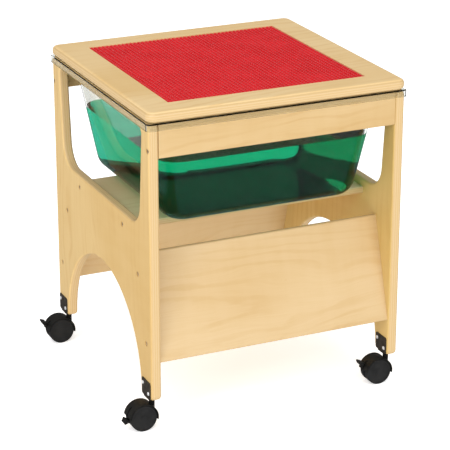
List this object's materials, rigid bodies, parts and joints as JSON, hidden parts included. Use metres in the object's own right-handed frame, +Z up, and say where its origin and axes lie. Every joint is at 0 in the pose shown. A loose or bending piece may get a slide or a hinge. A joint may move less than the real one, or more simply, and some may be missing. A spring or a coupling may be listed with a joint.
{
  "type": "sand and water table",
  "caption": "Square plywood sand and water table on braked casters, with a clear lift-out tub and a lift-off lid that holds a studded building plate.",
  "frame": {"origin": "on the floor, at the middle of the footprint, casters and brake levers included", "axes": "+Z up, +X to the right along the front, -Y out of the front apron"},
  "size_m": [0.5516, 0.486, 0.6],
  "materials": {
    "birch_plywood": "clear satin lacquer over birch-faced plywood",
    "red_plastic": "glossy moulded plastic",
    "clear_plastic": "clear moulded plastic",
    "zinc_steel": "zinc plated",
    "yellow_zinc_steel": "yellow zinc plated",
    "black_steel": "black oxide, slightly worn",
    "dark_steel": "turned steel",
    "black_tread": "fine moulded texture",
    "black_nylon": "satin moulded nylon"
  },
  "bodies": {
    "frame": {"side_panel_left": "birch_plywood", "side_panel_right": "birch_plywood", "front_apron": "birch_plywood", "back_apron": "birch_plywood", "shelf": "birch_plywood", "front_panel": "birch_plywood", "back_panel": "birch_plywood", "side_screws_left": "yellow_zinc_steel", "side_screws_right": "yellow_zinc_steel", "front_left_caster_bracket": "black_steel", "front_left_bracket_screws": "zinc_steel", "front_left_caster_stem": "dark_steel", "front_right_caster_bracket": "black_steel", "front_right_bracket_screws": "zinc_steel", "front_right_caster_stem": "dark_steel", "back_left_caster_bracket": "black_steel", "back_left_bracket_screws": "zinc_steel", "back_left_caster_stem": "dark_steel", "back_right_caster_bracket": "black_steel", "back_right_bracket_screws": "zinc_steel", "back_right_caster_stem": "dark_steel"},
    "tub": {"tub": "clear_plastic"},
    "lid": {"lid_board": "birch_plywood", "building_plate": "red_plastic"},
    "front_left_caster": {"front_left_caster_hood": "black_nylon", "front_left_caster_axle": "dark_steel", "front_left_lever_pin": "dark_steel"},
    "front_left_front_wheel": {"front_left_wheel_front": "black_tread"},
    "front_left_rear_wheel": {"front_left_wheel_rear": "black_tread"},
    "front_left_brake": {"front_left_brake_lever": "black_nylon"},
    "front_right_caster": {"front_right_caster_hood": "black_nylon", "front_right_caster_axle": "dark_steel", "front_right_lever_pin": "dark_steel"},
    "front_right_front_wheel": {"front_right_wheel_front": "black_tread"},
    "front_right_rear_wheel": {"front_right_wheel_rear": "black_tread"},
    "front_right_brake": {"front_right_brake_lever": "black_nylon"},
    "back_left_caster": {"back_left_caster_hood": "black_nylon", "back_left_caster_axle": "dark_steel", "back_left_lever_pin": "dark_steel"},
    "back_left_front_wheel": {"back_left_wheel_front": "black_tread"},
    "back_left_rear_wheel": {"back_left_wheel_rear": "black_tread"},
    "back_left_brake": {"back_left_brake_lever": "black_nylon"},
    "back_right_caster": {"back_right_caster_hood": "black_nylon", "back_right_caster_axle": "dark_steel", "back_right_lever_pin": "dark_steel"},
    "back_right_front_wheel": {"back_right_wheel_front": "black_tread"},
    "back_right_rear_wheel": {"back_right_wheel_rear": "black_tread"},
    "back_right_brake": {"back_right_brake_lever": "black_nylon"}
  },
  "joints": [
    {"name": "tub_lift", "type": "slide", "parent": "frame", "child": "tub", "axis": [0, 0, 1], "range_m": [0, 0.22]},
    {"name": "lid_lift", "type": "slide", "parent": "tub", "child": "lid", "axis": [0, 0, 1], "range_m": [0, 0.15]},
    {"name": "front_left_swivel", "type": "hinge", "parent": "frame", "child": "front_left_caster", "pos_m": [-0.2167, -0.214, 0.056], "axis": [0, 0, 1], "continuous": true},
    {"name": "front_left_front_wheel_spin", "type": "hinge", "parent": "front_left_caster", "child": "front_left_front_wheel", "pos_m": [-0.2372, -0.214, 0.025], "axis": [0, 1, 0], "continuous": true},
    {"name": "front_left_rear_wheel_spin", "type": "hinge", "parent": "front_left_caster", "child": "front_left_rear_wheel", "pos_m": [-0.2372, -0.214, 0.025], "axis": [0, 1, 0], "continuous": true},
    {"name": "front_left_brake", "type": "hinge", "parent": "front_left_caster", "child": "front_left_brake", "pos_m": [-0.2562, -0.214, 0.035], "axis": [0, -1, 0], "range_deg": [-82, 0]},
    {"name": "front_right_swivel", "type": "hinge", "parent": "frame", "child": "front_right_caster", "pos_m": [0.2623, -0.214, 0.056], "axis": [0, 0, 1], "continuous": true},
    {"name": "front_right_front_wheel_spin", "type": "hinge", "parent": "front_right_caster", "child": "front_right_front_wheel", "pos_m": [0.2418, -0.214, 0.025], "axis": [0, 1, 0], "continuous": true},
    {"name": "front_right_rear_wheel_spin", "type": "hinge", "parent": "front_right_caster", "child": "front_right_rear_wheel", "pos_m": [0.2418, -0.214, 0.025], "axis": [0, 1, 0], "continuous": true},
    {"name": "front_right_brake", "type": "hinge", "parent": "front_right_caster", "child": "front_right_brake", "pos_m": [0.2228, -0.214, 0.035], "axis": [0, -1, 0], "range_deg": [0, 82]},
    {"name": "back_left_swivel", "type": "hinge", "parent": "frame", "child": "back_left_caster", "pos_m": [-0.2167, 0.214, 0.056], "axis": [0, 0, 1], "continuous": true},
    {"name": "back_left_front_wheel_spin", "type": "hinge", "parent": "back_left_caster", "child": "back_left_front_wheel", "pos_m": [-0.2372, 0.214, 0.025], "axis": [0, 1, 0], "continuous": true},
    {"name": "back_left_rear_wheel_spin", "type": "hinge", "parent": "back_left_caster", "child": "back_left_rear_wheel", "pos_m": [-0.2372, 0.214, 0.025], "axis": [0, 1, 0], "continuous": true},
    {"name": "back_left_brake", "type": "hinge", "parent": "back_left_caster", "child": "back_left_brake", "pos_m": [-0.2562, 0.214, 0.035], "axis": [0, -1, 0], "range_deg": [0, 82]},
    {"name": "back_right_swivel", "type": "hinge", "parent": "frame", "child": "back_right_caster", "pos_m": [0.2623, 0.214, 0.056], "axis": [0, 0, 1], "continuous": true},
    {"name": "back_right_front_wheel_spin", "type": "hinge", "parent": "back_right_caster", "child": "back_right_front_wheel", "pos_m": [0.2418, 0.214, 0.025], "axis": [0, 1, 0], "continuous": true},
    {"name": "back_right_rear_wheel_spin", "type": "hinge", "parent": "back_right_caster", "child": "back_right_rear_wheel", "pos_m": [0.2418, 0.214, 0.025], "axis": [0, 1, 0], "continuous": true},
    {"name": "back_right_brake", "type": "hinge", "parent": "back_right_caster", "child": "back_right_brake", "pos_m": [0.2228, 0.214, 0.035], "axis": [0, -1, 0], "range_deg": [0, 82]}
  ]
}
